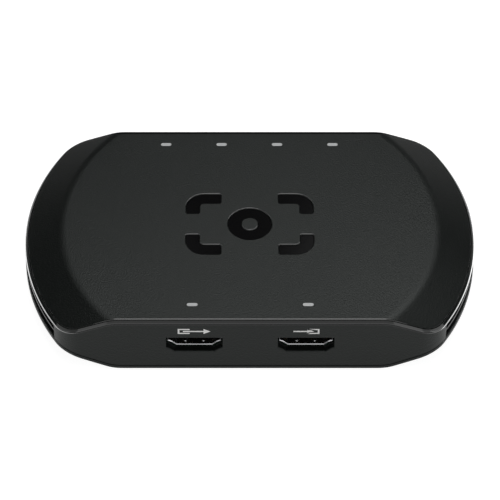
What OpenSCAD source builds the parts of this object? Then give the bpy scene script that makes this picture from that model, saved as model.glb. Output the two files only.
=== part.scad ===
// Video capture box: a flat table-top case with round ends. Two video sockets sit in the front,
// a data socket and three audio jacks in the back, and one circuit board inside.
// Millimetres. X runs along the width, Y from the front (-) to the back (+), Z up from the table.

/* [Case] */
// Width across the round ends
body_w = 124; // [114:1:140]
// Depth between the flat front and back
body_d = 73.5; // [71:0.5:84]
// Height from the underside to the top
body_h = 18.4; // [17.8:0.1:26]
// Radius of the four corners seen from above
corner_r = 8.3; // [6:0.1:11]
// Width of the falling wings round the flat top
top_wing_w = 10.3; // [8:0.1:11]
// Angle at which the top falls at the round ends
top_wing_angle = 26; // [20:0.5:28]
// Width of the rising wings round the flat underside
base_wing_w = 10; // [8:0.1:11]
// Angle at which the underside rises at the round ends
base_wing_angle = 31; // [24:0.5:33]
// Radius of the soft fold between flat and wing
fold_r = 6; // [2:0.5:10]
// Thickness of the upright wall
wall_t = 2.2; // [1.6:0.1:2.6]
// Thickness of the top cover
cover_t = 1.2; // [1:0.05:1.6]
// Thickness of the base
base_t = 2; // [1.6:0.1:2.4]
// Height of the base's own edge that shows under the wall
base_edge_h = 1; // [0.6:0.1:1.4]

/* [Rim and seams] */
// Thickness of the lip that frames the top cover
lip_t = 0.8; // [0.75:0.05:1]
// Width of the bevel round the rim, seen from above
bevel_w = 0.7; // [0.5:0.05:0.7]
// Height of the bevel round the rim
bevel_h = 0.8; // [0.6:0.05:1.2]
// Gap between the lip and the top cover
cover_gap = 0.2; // [0.1:0.05:0.3]
// Height of the shadow line between wall and base
shadow_h = 0.25; // [0.15:0.05:0.4]
// Depth of the shadow line between wall and base
shadow_d = 0.6; // [0.3:0.1:1]

/* [Side vents] */
// Distance from the ends of a slot to the corners, along the wall
vent_end_in = 0.7; // [0.6:0.1:15]
// Height of wall left above and below a slot
vent_rim = 0.3; // [0.2:0.05:0.6]
// Thickness of the grille behind the slot
grille_t = 1.4; // [1:0.1:2]
// Overlap of the grille round the slot
grille_lap = 0.45; // [0.3:0.05:0.5]
// Thickness of the grille's long bar
bar_t = 0.8; // [0.5:0.1:1.2]
// How far the long bar stays behind the wall's face
bar_inset = 0.25; // [0.2:0.05:1.4]
// Number of openings along the grille
grille_bays = 6; // [3:1:9]
// Width of the post between two openings
bay_post_w = 1.25; // [0.8:0.05:2]

/* [Video sockets] */
// Distance between the two video sockets
video_pitch = 30.1; // [26:0.1:36]
// Width inside a video socket
video_w = 14; // [13.6:0.1:14.4]
// Height inside a video socket
video_h = 4.55; // [4.3:0.05:4.8]
// Depth of a video socket
video_l = 11; // [10:0.5:13]
// Height of the slanted lower shoulders
shoulder_h = 1.6; // [1.3:0.1:2]
// Width of the slanted lower shoulders
shoulder_w = 2.2; // [1.6:0.1:2.8]
// Height at which the shoulders bend
shoulder_bend_h = 1.06; // [0.8:0.02:1.2]
// Width at which the shoulders bend
shoulder_bend_w = 1.03; // [0.8:0.02:1.4]
// Thickness of the sockets' metal shells
shell_t = 0.3; // [0.25:0.05:0.4]
// Bevel that leads a plug into a video socket
video_lead_in = 0.2; // [0.1:0.02:0.22]
// Width of the tongue
video_tongue_w = 12; // [11:0.1:12.6]
// Thickness of the tongue
video_tongue_t = 1; // [0.8:0.1:1.2]
// How far the tongue stays behind the mouth
video_tongue_inset = 1.3; // [1:0.1:2]
// Length of the moulded block behind the tongue
video_block_l = 4; // [3:0.5:5]
// Contacts on the upper face of the tongue
video_contacts = 10; // [6:1:10]
// Distance between two contacts of one row
video_contact_pitch = 1; // [0.9:0.05:1.1]
// Gap beside a socket in its wall opening
video_side_gap = 0.28; // [0.1:0.02:0.5]
// Gap above and below a socket in its wall opening
video_height_gap = 0.1; // [0.05:0.05:0.3]

/* [Data socket] */
// Width inside the data socket
data_w = 8.34; // [8:0.02:8.6]
// Height inside the data socket
data_h = 2.56; // [2.4:0.02:2.8]
// Depth of the data socket
data_l = 7.2; // [6.5:0.1:9]
// Width of its tongue
data_tongue_w = 6.7; // [6.4:0.1:7]
// Thickness of its tongue
data_tongue_t = 0.7; // [0.6:0.05:0.8]
// Length of the moulded block behind its tongue
data_block_l = 2; // [1.5:0.1:2.5]
// Contacts on each face of its tongue
data_contacts = 12; // [8:1:12]
// Distance between two contacts of one row
data_contact_pitch = 0.5; // [0.45:0.01:0.52]
// Gap round the data socket in its wall opening
data_gap = 0.25; // [0.1:0.05:0.5]

/* [Audio jacks] */
// Radius of a jack's bore
jack_bore_r = 1.8; // [1.76:0.01:1.9]
// Depth of a jack's bore in its block
jack_bore_l = 11; // [10:0.5:12]
// Width of a jack
jack_w = 6.6; // [6:0.1:7.5]
// Height of a jack
jack_h = 5.2; // [4.8:0.1:6]
// Length of a jack
jack_l = 12.4; // [12.2:0.1:13.5]
// Radius of a jack's hole in the wall
jack_hole_r = 3; // [2.6:0.1:3.4]
// Bevel round a jack's hole
jack_hole_bevel = 0.4; // [0.2:0.1:0.8]
// Gap round a jack's nose in its hole
jack_nose_gap = 0.45; // [0.3:0.05:0.6]
// How far a jack's nose stays behind the wall's face
jack_nose_inset = 0.4; // [0.2:0.05:1]

/* [Indicators] */
// Distance between two indicator windows
indicator_pitch = 15.6; // [14:0.1:17]
// Distance of the two front windows from the flat front
front_window_in = 6.6; // [5:0.1:8]
// Distance of the four rear windows from the flat back
rear_window_in = 5.7; // [5:0.1:7]
// Length of a window
window_w = 3; // [2:0.05:4]
// Width of a window
window_d = 1.2; // [0.8:0.05:1.6]
// Gap between a light guide's tip and its window
window_gap = 0.05; // [0.03:0.01:0.1]
// Thickness of a light guide
guide_t = 1.5; // [1:0.1:2]

/* [Emblem] */
// Width of the emblem
emblem_w = 35; // [28:0.5:42]
// Depth of the emblem
emblem_d = 23; // [18:0.5:28]
// Width of its strokes
emblem_stroke = 3.6; // [2.5:0.1:4.5]
// Length of the corner strokes along the width
emblem_arm_x = 9.5; // [7:0.1:12]
// Length of the corner strokes along the depth
emblem_arm_y = 7.5; // [6:0.1:8.5]
// Outer radius of the corner strokes
emblem_corner_r = 5; // [4.6:0.1:5.5]
// Outer radius of the ring in its middle
emblem_ring_r = 6; // [4.5:0.1:7]
// Depth of the emblem's recess
emblem_depth = 0.7; // [0.5:0.05:1]
// Thickness of the inlay
inlay_t = 0.4; // [0.2:0.05:0.5]

/* [Board and fixings] */
// Thickness of the circuit board
board_t = 1.6; // [1.2:0.1:2]
// Height of the board's pillars above the base
pillar_h = 3.4; // [3:0.1:4]
// How far the board runs past the flat underside
board_over = 3; // [1:0.1:3.5]
// Distance of the board screws from the round ends
board_screw_in = 24; // [22:0.5:26]
// Distance between the board screws along the depth
board_screw_span = 16; // [14:0.5:18]
// Distance of the case screws from the round ends
case_screw_in = 18; // [17:0.5:19]
// Distance between the case screws along the depth
case_screw_span = 38; // [36:0.5:42]
// Radius of a case screw's post
post_r = 3.2; // [2.9:0.1:3.6]
// Height at which the posts of base and cover meet
post_split_h = 8.8; // [8.4:0.1:10]
// Radius of a foot
foot_r = 5; // [4:0.1:6]
// How far the feet stand out of the base
foot_proud = 0.8; // [0.4:0.1:1.6]
// Depth of a foot's pocket
foot_pocket = 1; // [0.6:0.1:1.2]
// Distance of the feet from the round ends
foot_in = 29; // [27:0.5:34]
// Distance between the feet along the depth
foot_span = 55; // [50:0.5:57]
// Width of the heat sink
sink_w = 30; // [24:1:34]
// Depth of the heat sink
sink_d = 25; // [22:1:26]
// Height of the heat sink
sink_h = 5.5; // [4:0.1:6]
// Number of fins on the heat sink
sink_fins = 9; // [5:1:11]

/* [Hidden] */
$fn = 96;
// Overshoot of a cut, and of the blocks that carve the case
cut = 1;
far = 4;

// Heights
under_z = foot_proud;
top_z = under_z + body_h;
ceiling_z = top_z - cover_t;
floor_z = under_z + base_t;
board_z = floor_z + pillar_h;
board_top = board_z + board_t;

// Case outline
end_r = body_w / 2;
half_d = body_d / 2;
corner_y = half_d - corner_r;
corner_x = sqrt(pow(end_r - corner_r, 2) - pow(corner_y, 2));
end_angle = atan2(corner_y, corner_x);
top_flat_r = end_r - top_wing_w;
base_flat_r = end_r - base_wing_w;
cover_inset = lip_t + cover_gap;
floor_gap = 0.2;
fold_steps = 8;
wing_reach = end_r + far;

// Rim bevel: steps along a round end, a corner and a falling edge
bevel_slope = bevel_h / bevel_w;
bevel_over = 0.4;
end_steps = 28;
corner_steps = 8;
slope_steps = 8;

// Side vents, between the shadow line below and the rim bevel or the cover's seat above
grille_r = end_r - wall_t;
vent_low_z = under_z + fall(end_r, base_flat_r, base_wing_angle) + base_edge_h + shadow_h;
vent_high_z = top_z - max(fall(end_r, top_flat_r, top_wing_angle) + bevel_h,
                          fall(end_r - lip_t, top_flat_r, top_wing_angle) + cover_t);
vent_z = (vent_low_z + vent_high_z) / 2;
vent_h = vent_high_z - vent_low_z - 2 * vent_rim;
vent_half_angle = end_angle - arc_angle(vent_end_in, end_r);
lap_angle = arc_angle(grille_lap, grille_r);
bay_angle = 2 * vent_half_angle / grille_bays;
bay_half_angle = (bay_angle - arc_angle(bay_post_w, grille_r)) / 2;

// Sockets and jacks
port_gap = 0.1;
seat_y = half_d - wall_t - port_gap;
leg_w = 1.2;
leg_gap = 0.1;
leg_below = 0.5;
video_z = board_top + shell_t + video_h / 2;
video_x = [-video_pitch / 2, video_pitch / 2];
video_leg_y = [3, 8.5];
video_tongue_z = 0.35;
contact_w = 0.3;
contact_t = 0.15;
spring_x = 2.45;
spring_y = 1.6;
spring_r = 0.8;
spring_tip_r = 0.4;
spring_h = 0.2;
data_z = board_top + shell_t + data_h / 2;
data_leg_y = [1.6, 5.2];
data_tongue_inset = 0.9;
data_contact_w = 0.25;
data_contact_t = 0.1;
data_tail_step = 0.3;
jack_z = board_top + jack_h / 2;
jack_nose_r = jack_hole_r - jack_nose_gap;
jack_nose_l = port_gap + wall_t - jack_nose_inset;
jack_nose_root = 0.3;
terminal_t = 0.3;
terminal_w = 1;
terminal_y = [3, 8.5];

// Indicators: lamps stand on the board behind the sockets
front_window_y = half_d - front_window_in;
rear_window_y = half_d - rear_window_in;
front_window_x = [-indicator_pitch, indicator_pitch];
rear_window_x = [for (i = [-1.5:1:1.5]) i * indicator_pitch];
data_x = rear_window_x[3];
lamp_behind_video = 2.6;
lamp_behind_jack = 2.2;
front_lamp_y = seat_y - video_l - lamp_behind_video;
rear_lamp_y = seat_y - jack_l - lamp_behind_jack;
lamp_size = [1.6, 0.8, 0.6];
lamp_gap = 0.2;
guide_leg_w = 2.4;
guide_leg_d = 1.6;
runner_d = 2.4;

// Components: [width, depth, height] and places on the board
processor_size = [17, 17, 1.2];
pad_h = 0.5;
sink_base_h = 1.5;
sink_fin_t = 1;
chip_gap = 1;
bridge_size = [8, 8, 0.9];
bridge_in = 29;
bridge_x = end_r - bridge_in;
rear_chip_in = 2.8;
rear_chip_y = rear_lamp_y - rear_chip_in;
memory_size = [8, 12.5, 1.1];
memory_span = 15;
memory_x = bridge_x - (bridge_size[0] + memory_size[0]) / 2 - chip_gap;
video_chip_size = [7, 7, 0.9];
video_chip_x = 5.5;
video_chip_in = 4.6;
video_chip_y = seat_y - video_l - video_chip_in;
codec_size = [6, 6, 0.9];
codec_x = (rear_window_x[0] + rear_window_x[1]) / 2;
inductor_size = [6, 6, 3];
inductor_in = 32;
inductor_pitch = 8;
inductor_x = inductor_in - end_r;
flash_size = [5.2, 7.8, 1.6];
flash_gap = 3.4;
flash_x = inductor_x + (inductor_size[0] + flash_size[0]) / 2 + flash_gap;
flash_y = 8;
crystal_size = [5, 3.2, 1.1];
crystal_y = 2;
crystals_at = [[flash_x, crystal_y], [(rear_window_x[2] + rear_window_x[3]) / 2, rear_chip_y]];
bulk_d = 6.3;
bulk_h = 5.4;
bulk_pitch = 7;
bulk_y = 16.5;
ceramic_size = [1.6, 0.8, 0.8];
ceramic_rows = 7;
ceramic_pitch = 2.2;
ceramic_x = processor_size[0] / 2 + 2;

// Fixings
board_r = base_flat_r + board_over;
board_edge_gap = 0.6;
board_half_d = half_d - wall_t - board_edge_gap;
board_screw_x = end_r - board_screw_in;
board_screw_r = 0.8;
board_pilot_r = 0.85;
board_head_r = 1.9;
board_head_h = 1.3;
board_bite = 2.4;
board_tip_gap = 0.5;
pillar_r = 2.6;
case_screw_x = end_r - case_screw_in;
case_screw_r = 1.1;
case_hole_r = 1.4;
case_pilot_r = 1.15;
case_head_r = 2.2;
case_head_h = 1.6;
case_recess_r = 2.5;
case_recess_h = 4.5;
case_bite = 5;
post_gap = 0.3;
foot_x = end_r - foot_in;

// Colours
case_colour = [0.10, 0.105, 0.105];
gloss_colour = [0.03, 0.03, 0.035];
metal_colour = [0.72, 0.73, 0.75];
gold_colour = [0.83, 0.66, 0.30];
chip_colour = [0.07, 0.07, 0.08];
board_colour = [0.05, 0.16, 0.12];
rubber_colour = [0.06, 0.06, 0.06];

// Outline of the case from above, drawn in from the outer wall by inset
module outline(inset) {
    r = end_r - inset;
    d = half_d - inset;
    intersection() {
        circle(r);
        square([2 * r, 2 * r * sin(end_angle)], center = true);
    }
    square([2 * corner_x, 2 * d], center = true);
    for (x = [-1, 1], y = [-1, 1])
        translate([x * corner_x, y * corner_y])
            circle(corner_r - inset);
}

// The outline as an upright block, taller than the case
module block(inset) {
    translate([0, 0, under_z - far])
        linear_extrude(body_h + 2 * far)
            outline(inset);
}

// Angle that a length takes along an arc of radius r
function arc_angle(length, r) = length / r * 180 / PI;

// Fall of a wing at radius r, from a flat of radius flat_r through the soft fold
function fold_start(flat_r, angle) = flat_r - fold_r * tan(angle / 2);
function fall(r, flat_r, angle) =
    let (past = r - fold_start(flat_r, angle))
    past <= 0 ? 0
    : past < fold_r * sin(angle) ? fold_r - sqrt(pow(fold_r, 2) - pow(past, 2))
    : (r - flat_r) * tan(angle);
function wing_points(flat_r, angle) = [
    for (i = [0:fold_steps])
        let (r = fold_start(flat_r, angle) + fold_r * sin(angle * i / fold_steps))
        [r, fall(r, flat_r, angle)],
    [wing_reach, fall(wing_reach, flat_r, angle)]
];

// All that lies under the top face lowered by drop
module under_top(drop) {
    face = [for (p = wing_points(top_flat_r, top_wing_angle)) [p[0], top_z - drop - p[1]]];
    rotate_extrude()
        polygon(concat([[0, under_z - far], [0, top_z - drop]], face, [[wing_reach, under_z - far]]));
}

// All that lies over the underside raised by rise
module over_base(rise) {
    face = [for (p = wing_points(base_flat_r, base_wing_angle)) [p[0], under_z + rise + p[1]]];
    rotate_extrude()
        polygon(concat([[0, top_z + far], [0, under_z + rise]], face, [[wing_reach, top_z + far]]));
}

// Points round the outer wall, each with its outward direction: [x, y, nx, ny].
// They keep half a step away from the places where the arcs of the outline meet.
function arc_points(x, y, r, from, to, steps) = [
    for (i = [0:steps - 1])
        let (a = from + (to - from) * (i + 0.5) / steps)
        [x + r * cos(a), y + r * sin(a), cos(a), sin(a)]
];
function straight_points(side) =
    let (
        fold_x = sqrt(pow(fold_start(top_flat_r, top_wing_angle), 2) - pow(half_d, 2)),
        xs = [for (i = [0:slope_steps]) corner_x + (fold_x - corner_x) * (i + 0.5) / slope_steps]
    )
    [
        for (i = [0:slope_steps])
            [side * xs[i], side * half_d, 0, side],
        for (i = [0:slope_steps])
            [-side * xs[slope_steps - i], side * half_d, 0, side]
    ];
function wall_points() = concat(
    arc_points(0, 0, end_r, -end_angle, end_angle, end_steps),
    arc_points(corner_x, corner_y, corner_r, end_angle, 90, corner_steps),
    straight_points(1),
    arc_points(-corner_x, corner_y, corner_r, 90, 180 - end_angle, corner_steps),
    arc_points(0, 0, end_r, 180 - end_angle, 180 + end_angle, end_steps),
    arc_points(-corner_x, -corner_y, corner_r, 180 + end_angle, 270, corner_steps),
    straight_points(-1),
    arc_points(corner_x, -corner_y, corner_r, 270, 360 - end_angle, corner_steps)
);

// Ring that cuts the bevel round the rim: it follows the top face up and down as it goes round
module bevel_ring() {
    stations = wall_points();
    count = len(stations);
    inner = bevel_w + bevel_over;
    points = [
        for (p = stations)
            let (
                edge_r = norm([p[0] - p[2] * bevel_w, p[1] - p[3] * bevel_w]),
                edge_z = top_z - fall(edge_r, top_flat_r, top_wing_angle),
                high_z = edge_z + bevel_over * bevel_slope,
                low_z = edge_z - bevel_h - bevel_over * bevel_slope
            )
            each [
                [p[0] + p[2] * bevel_over, p[1] + p[3] * bevel_over, low_z],
                [p[0] + p[2] * bevel_over, p[1] + p[3] * bevel_over, high_z],
                [p[0] - p[2] * inner, p[1] - p[3] * inner, high_z]
            ]
    ];
    faces = [
        for (i = [0:count - 1], k = [0:2])
            let (
                a = 3 * i + k,
                b = 3 * i + (k + 1) % 3,
                c = 3 * ((i + 1) % count) + k,
                d = 3 * ((i + 1) % count) + (k + 1) % 3
            )
            each [[a, b, d], [a, d, c]]
    ];
    polyhedron(points, faces);
}

// Sector of a ring about the middle of the case, centred on the round end at angle turn
module ring_sector(r_in, r_out, z, h, half_angle, turn) {
    rotate([0, 0, turn - half_angle])
        rotate_extrude(angle = 2 * half_angle)
            translate([r_in, z - h / 2])
                square([r_out - r_in, h]);
}

// Children at the four corners of a rectangle about the middle of the case
module at_corners(x, y) {
    for (sx = [-1, 1], sy = [-1, 1])
        translate([sx * x, sy * y, 0])
            children();
}

// Children drawn in X and Z, extruded inwards along Y from the wall
module inwards(length) {
    translate([0, length, 0])
        rotate([90, 0, 0])
            linear_extrude(length)
                children();
}

// The same as a hole right through length
module through(length) {
    translate([0, -cut, 0])
        inwards(length + 2 * cut)
            children();
}

// A socket's place behind the front wall, and behind the back wall
module behind_front(x, z) {
    translate([x, -seat_y, z])
        children();
}
module behind_back(x, z) {
    translate([x, seat_y, z])
        rotate([0, 0, 180])
            children();
}

// A flat shape with round ends
module pill(w, h) {
    square([w - h, h], center = true);
    for (side = [-1, 1])
        translate([side * (w - h) / 2, 0])
            circle(h / 2);
}

// Outline of a video socket, grown by grow_w and grow_h all round, with slanted lower shoulders
function video_points(grow_w, grow_h) =
    let (
        w = video_w / 2 + grow_w,
        h = video_h / 2 + grow_h,
        half = [
            [w, h],
            [w, shoulder_h - h],
            [w - shoulder_bend_w, shoulder_bend_h - h],
            [w - shoulder_w, -h]
        ]
    )
    concat(half, [for (i = [3:-1:0]) [-half[i][0], half[i][1]]]);
module video_outline(grow_w, grow_h) {
    polygon(video_points(grow_w, grow_h));
}

// Emblem: four corner strokes round a ring
module emblem_shape() {
    r = emblem_corner_r;
    for (sx = [0, 1], sy = [0, 1])
        mirror([sx, 0])
            mirror([0, sy])
                translate([emblem_w / 2 - r, emblem_d / 2 - r]) {
                    intersection() {
                        difference() {
                            circle(r);
                            circle(r - emblem_stroke);
                        }
                        square(r);
                    }
                    translate([r - emblem_arm_x, r - emblem_stroke])
                        square([emblem_arm_x - r, emblem_stroke]);
                    translate([r - emblem_stroke, r - emblem_arm_y])
                        square([emblem_stroke, emblem_arm_y - r]);
                }
    difference() {
        circle(emblem_ring_r);
        circle(emblem_ring_r - emblem_stroke);
    }
}

// Base: thin edge under the wall, thicker floor inside it, posts and pillars, pockets for the feet
module base_cover() {
    color(case_colour)
        difference() {
            union() {
                difference() {
                    intersection() {
                        block(0);
                        over_base(0);
                    }
                    over_base(base_edge_h);
                }
                difference() {
                    intersection() {
                        block(wall_t + floor_gap);
                        over_base(0);
                    }
                    over_base(base_t);
                }
                intersection() {
                    over_base(base_edge_h / 2);
                    at_corners(case_screw_x, case_screw_span / 2)
                        translate([0, 0, under_z])
                            cylinder(r = post_r, h = post_split_h);
                }
                intersection() {
                    over_base(base_edge_h / 2);
                    at_corners(board_screw_x, board_screw_span / 2)
                        translate([0, 0, under_z])
                            cylinder(r = pillar_r, h = board_z - under_z);
                }
            }
            at_corners(case_screw_x, case_screw_span / 2)
                translate([0, 0, under_z - cut]) {
                    cylinder(r = case_recess_r, h = case_recess_h + cut);
                    cylinder(r = case_hole_r, h = post_split_h + 2 * cut);
                }
            at_corners(board_screw_x, board_screw_span / 2)
                translate([0, 0, board_z - board_bite])
                    cylinder(r = board_pilot_r, h = board_bite + cut);
            at_corners(foot_x, foot_span / 2)
                translate([0, 0, under_z - cut])
                    cylinder(r = foot_r, h = foot_pocket + cut);
        }
}

// Upright wall: seat and bevelled lip for the cover, vents in the round ends, openings for the sockets
module mid_frame() {
    color(case_colour)
        difference() {
            intersection() {
                block(0);
                under_top(0);
                over_base(base_edge_h);
            }
            block(wall_t);
            difference() {
                block(lip_t);
                under_top(cover_t);
            }
            difference() {
                block(-cut);
                block(shadow_d);
                over_base(base_edge_h + shadow_h);
            }
            bevel_ring();
            for (turn = [0, 180])
                ring_sector(grille_r - cut, end_r + cut, vent_z, vent_h, vent_half_angle, turn);
            translate([0, -wall_t, 0])
                for (x = video_x)
                    behind_front(x, video_z)
                        through(wall_t)
                            video_outline(shell_t + video_side_gap, shell_t + video_height_gap);
            translate([0, wall_t, 0]) {
                behind_back(data_x, data_z)
                    through(wall_t)
                        pill(data_w + 2 * (shell_t + data_gap), data_h + 2 * (shell_t + data_gap));
                for (i = [0:2])
                    behind_back(rear_window_x[i], jack_z) {
                        through(wall_t)
                            circle(jack_hole_r);
                        translate([0, -port_gap, 0])
                            rotate([-90, 0, 0])
                                cylinder(r1 = jack_hole_r + jack_hole_bevel, r2 = jack_hole_r,
                                         h = jack_hole_bevel);
                    }
            }
        }
}

// Top cover: flat middle, falling wings, windows, sunk emblem, posts for the case screws
module top_cover() {
    color(case_colour)
        difference() {
            union() {
                difference() {
                    intersection() {
                        block(cover_inset);
                        under_top(0);
                    }
                    under_top(cover_t);
                }
                intersection() {
                    under_top(cover_t / 2);
                    at_corners(case_screw_x, case_screw_span / 2)
                        translate([0, 0, under_z + post_split_h])
                            cylinder(r = post_r, h = body_h - post_split_h);
                }
            }
            at_corners(case_screw_x, case_screw_span / 2)
                translate([0, 0, under_z + post_split_h - cut])
                    cylinder(r = case_pilot_r, h = case_bite + 2 * cut);
            translate([0, 0, top_z - emblem_depth])
                linear_extrude(emblem_depth + cut)
                    emblem_shape();
            for (x = front_window_x)
                translate([x, -front_window_y, ceiling_z - cut])
                    linear_extrude(cover_t + 2 * cut)
                        pill(window_w, window_d);
            for (x = rear_window_x)
                translate([x, rear_window_y, ceiling_z - cut])
                    linear_extrude(cover_t + 2 * cut)
                        pill(window_w, window_d);
        }
}

module emblem_inlay() {
    color(gloss_colour)
        translate([0, 0, top_z - emblem_depth])
            linear_extrude(inlay_t)
                emblem_shape();
}

// Clear moulding that carries light from lamps on the board to the windows: tips, fingers, runner, legs
module light_guide(xs, window_y, lamp_y) {
    tip_w = window_w - 2 * window_gap;
    tip_d = window_d - 2 * window_gap;
    leg_h = ceiling_z - board_top - lamp_size[2] - lamp_gap;
    runner_w = max(xs) - min(xs) + guide_leg_w;
    for (x = xs) {
        translate([x, window_y, ceiling_z - guide_t])
            linear_extrude(cover_t + guide_t)
                pill(tip_w, tip_d);
        translate([x - tip_w / 2, lamp_y, ceiling_z - guide_t])
            cube([tip_w, window_y - lamp_y + tip_d / 2, guide_t]);
        translate([x - guide_leg_w / 2, lamp_y - guide_leg_d / 2, ceiling_z - leg_h])
            cube([guide_leg_w, guide_leg_d, leg_h]);
    }
    translate([-runner_w / 2, lamp_y - runner_d / 2, ceiling_z - guide_t])
        cube([runner_w, runner_d, guide_t]);
}
module front_light_guide() {
    color("lightgray")
        mirror([0, 1, 0])
            light_guide(front_window_x, front_window_y, front_lamp_y);
}
module rear_light_guide() {
    color("lightgray")
        light_guide(rear_window_x, rear_window_y, rear_lamp_y);
}

// Curved grille behind a side slot: rows of openings with a long bar that stands out into the slot
module vent_grille(turn) {
    opening_h = (vent_h - bar_t) / 2;
    color(gloss_colour) {
        difference() {
            ring_sector(grille_r - grille_t, grille_r, vent_z, vent_h + 2 * grille_lap,
                        vent_half_angle + lap_angle, turn);
            for (bay = [0:grille_bays - 1], side = [-1, 1])
                ring_sector(grille_r - grille_t - cut, grille_r + cut,
                            vent_z + side * (bar_t + opening_h) / 2, opening_h,
                            bay_half_angle,
                            turn + (bay - (grille_bays - 1) / 2) * bay_angle);
        }
        ring_sector(grille_r - grille_t / 2, end_r - bar_inset, vent_z, bar_t,
                    vent_half_angle - lap_angle, turn);
    }
}
module left_vent_grille() {
    vent_grille(180);
}
module right_vent_grille() {
    vent_grille(0);
}

// Circuit board: follows the case, cleared for the posts, drilled for its screws and the sockets' legs
module main_board() {
    color(board_colour)
        difference() {
            translate([0, 0, board_z])
                linear_extrude(board_t)
                    intersection() {
                        circle(board_r);
                        square([2 * board_r, 2 * board_half_d], center = true);
                    }
            at_corners(case_screw_x, case_screw_span / 2)
                translate([0, 0, board_z - cut])
                    cylinder(r = post_r + post_gap, h = board_t + 2 * cut);
            at_corners(board_screw_x, board_screw_span / 2)
                translate([0, 0, board_z - cut])
                    cylinder(r = board_pilot_r, h = board_t + 2 * cut);
            for (x = video_x)
                behind_front(x, video_z)
                    legs(video_w, video_leg_y, video_z, leg_gap);
            behind_back(data_x, data_z)
                legs(data_w, data_leg_y, data_z, leg_gap);
        }
}

// Solder legs beside a socket's shell that is w wide inside, grown by grow for their slots in the board
module legs(w, ys, socket_z, grow) {
    leg_h = socket_z - board_z + leg_below;
    for (side = [-1, 1], y = ys)
        translate([side * (w + shell_t) / 2 - shell_t / 2 - grow, y - leg_w / 2 - grow, -leg_h])
            cube([shell_t + 2 * grow, leg_w + 2 * grow, leg_h]);
}

// One slanted wedge along each edge of a video socket's mouth
module video_mouth_wedges() {
    corners = video_points(0, 0);
    count = len(corners);
    over = video_lead_in / 2;
    for (i = [0:count - 1]) {
        edge = corners[(i + 1) % count] - corners[i];
        translate([corners[i][0], 0, corners[i][1]])
            rotate([0, -atan2(edge[1], edge[0]), 0])
                translate([-over, 0, 0])
                    rotate([90, 0, 90])
                        linear_extrude(norm(edge) + 2 * over)
                            polygon([
                                [-over, video_lead_in + over],
                                [-over, -over],
                                [video_lead_in + over, -over]
                            ]);
    }
}

// Plated shell of a video socket, with a bevelled mouth and two contact springs on its floor
module video_shell(side) {
    color(metal_colour)
        behind_front(video_x[side], video_z) {
            difference() {
                union() {
                    inwards(video_l)
                        video_outline(shell_t, shell_t);
                    legs(video_w, video_leg_y, video_z, 0);
                }
                through(video_l)
                    video_outline(0, 0);
                video_mouth_wedges();
            }
            for (x = [-spring_x, spring_x])
                translate([x, spring_y, -(video_h + shell_t) / 2])
                    cylinder(r1 = spring_r, r2 = spring_tip_r, h = spring_h + shell_t / 2);
        }
}

// Contacts of a video socket: an upper and a lower row on the tongue, with tails down to the board
module video_contact_rows() {
    tail_y = video_l + contact_t;
    start_y = video_tongue_inset + contact_w;
    for (row = [0, 1], i = [0:video_contacts - 1 - row]) {
        x = (i - (video_contacts - 1 - row) / 2) * video_contact_pitch;
        z = video_tongue_z + (row == 0 ? video_tongue_t / 2 : -video_tongue_t / 2 - contact_t);
        translate([x - contact_w / 2, start_y, z])
            cube([contact_w, tail_y - start_y + contact_t, contact_t]);
        translate([x - contact_w / 2, tail_y, board_top - video_z])
            cube([contact_w, contact_t, z + video_z - board_top + contact_t]);
    }
}
module video_contact_set(side) {
    color(gold_colour)
        behind_front(video_x[side], video_z)
            video_contact_rows();
}

// Moulded block and tongue of a video socket, with channels for its contacts
module video_insulator(side) {
    color(chip_colour)
        behind_front(video_x[side], video_z)
            difference() {
                union() {
                    translate([0, video_l - video_block_l, 0])
                        inwards(video_block_l)
                            video_outline(0, 0);
                    translate([-video_tongue_w / 2, video_tongue_inset, video_tongue_z - video_tongue_t / 2])
                        cube([video_tongue_w, video_l - video_tongue_inset - video_block_l / 2,
                              video_tongue_t]);
                }
                video_contact_rows();
            }
}
module video_out_shell() {
    video_shell(0);
}
module video_out_insulator() {
    video_insulator(0);
}
module video_out_contacts() {
    video_contact_set(0);
}
module video_in_shell() {
    video_shell(1);
}
module video_in_insulator() {
    video_insulator(1);
}
module video_in_contacts() {
    video_contact_set(1);
}

// Data socket: plated shell, contacts on both faces of a thin tongue, moulded block
module data_socket_shell() {
    color(metal_colour)
        behind_back(data_x, data_z)
            difference() {
                union() {
                    inwards(data_l)
                        pill(data_w + 2 * shell_t, data_h + 2 * shell_t);
                    legs(data_w, data_leg_y, data_z, 0);
                }
                through(data_l)
                    pill(data_w, data_h);
            }
}
module data_contact_rows() {
    start_y = data_tongue_inset + data_contact_w;
    for (row = [0, 1], i = [0:data_contacts - 1]) {
        x = (i - (data_contacts - 1) / 2) * data_contact_pitch;
        z = row == 0 ? data_tongue_t / 2 : -data_tongue_t / 2 - data_contact_t;
        tail_y = data_l + contact_t + (1 - row) * data_tail_step;
        translate([x - data_contact_w / 2, start_y, z])
            cube([data_contact_w, tail_y - start_y + data_contact_t, data_contact_t]);
        translate([x - data_contact_w / 2, tail_y, board_top - data_z])
            cube([data_contact_w, data_contact_t, z + data_z - board_top + data_contact_t]);
    }
}
module data_socket_contacts() {
    color(gold_colour)
        behind_back(data_x, data_z)
            data_contact_rows();
}
module data_socket_tongue() {
    color(chip_colour)
        behind_back(data_x, data_z)
            difference() {
                union() {
                    translate([0, data_l - data_block_l, 0])
                        inwards(data_block_l)
                            pill(data_w, data_h);
                    translate([-data_tongue_w / 2, data_tongue_inset, -data_tongue_t / 2])
                        cube([data_tongue_w, data_l - data_tongue_inset - data_block_l / 2, data_tongue_t]);
                }
                data_contact_rows();
            }
}

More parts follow.
